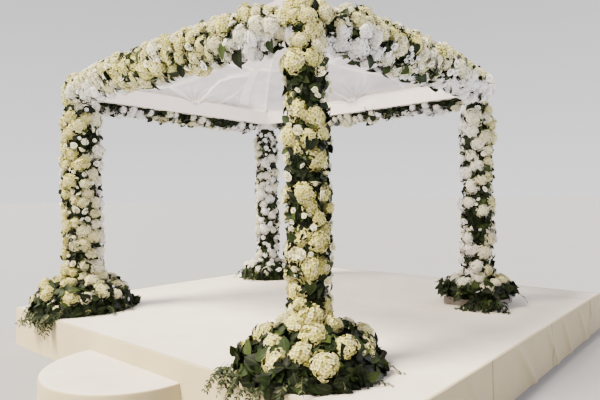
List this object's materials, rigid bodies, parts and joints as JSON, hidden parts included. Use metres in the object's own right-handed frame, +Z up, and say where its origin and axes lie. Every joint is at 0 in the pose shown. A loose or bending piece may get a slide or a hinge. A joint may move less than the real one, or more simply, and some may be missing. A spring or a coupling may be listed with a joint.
{
  "type": "chuppah canopy",
  "caption": "Flower-covered wedding canopy: a white four-post frame with a sheer domed roof, on a draped stage with a half-round step.",
  "frame": {"origin": "on the floor, under the middle of the whole model's plan", "axes": "+X to the right and +Y to the back, seen from the half-round step at the front; +Z up"},
  "size_m": [4.8854, 5.5758, 3.4067],
  "materials": {
    "white_paint": "satin white paint",
    "sheer_cloth": "sheer white voile",
    "stage_cloth": "matt off-white cloth",
    "deck_plywood": "sanded plywood",
    "trestle_steel": "galvanised",
    "tray_paint": "matt grey paint",
    "flower_petals": "cream and white petals",
    "leaf_green": "dark satin leaves"
  },
  "bodies": {
    "root": {"stage_deck_front_left": "deck_plywood", "stage_deck_front_right": "deck_plywood", "stage_deck_back_left": "deck_plywood", "stage_deck_back_right": "deck_plywood", "stage_trestle_front": "trestle_steel", "stage_trestle_middle": "trestle_steel", "stage_trestle_back": "trestle_steel", "stage_skirt_front": "stage_cloth", "stage_skirt_right": "stage_cloth", "stage_skirt_back": "stage_cloth", "stage_skirt_left": "stage_cloth", "step_platform": "deck_plywood", "step_skirt": "stage_cloth", "post_front_left": "white_paint", "base_tray_front_left": "tray_paint", "post_front_right": "white_paint", "base_tray_front_right": "tray_paint", "post_back_right": "white_paint", "base_tray_back_right": "tray_paint", "post_back_left": "white_paint", "base_tray_back_left": "tray_paint", "beam_front": "white_paint", "beam_right": "white_paint", "beam_back": "white_paint", "beam_left": "white_paint", "hip_rib_front_left": "white_paint", "hip_rib_front_right": "white_paint", "hip_rib_back_right": "white_paint", "hip_rib_back_left": "white_paint", "crown_hub": "white_paint", "roof_cloth": "sheer_cloth", "flower_column_front_left": "flower_petals", "flower_mound_front_left": "leaf_green", "flower_column_front_right": "flower_petals", "flower_mound_front_right": "leaf_green", "flower_column_back_right": "flower_petals", "flower_mound_back_right": "leaf_green", "flower_column_back_left": "flower_petals", "flower_mound_back_left": "leaf_green", "garland_front": "flower_petals", "garland_right": "flower_petals", "garland_back": "flower_petals", "garland_left": "flower_petals"}
  },
  "joints": []
}
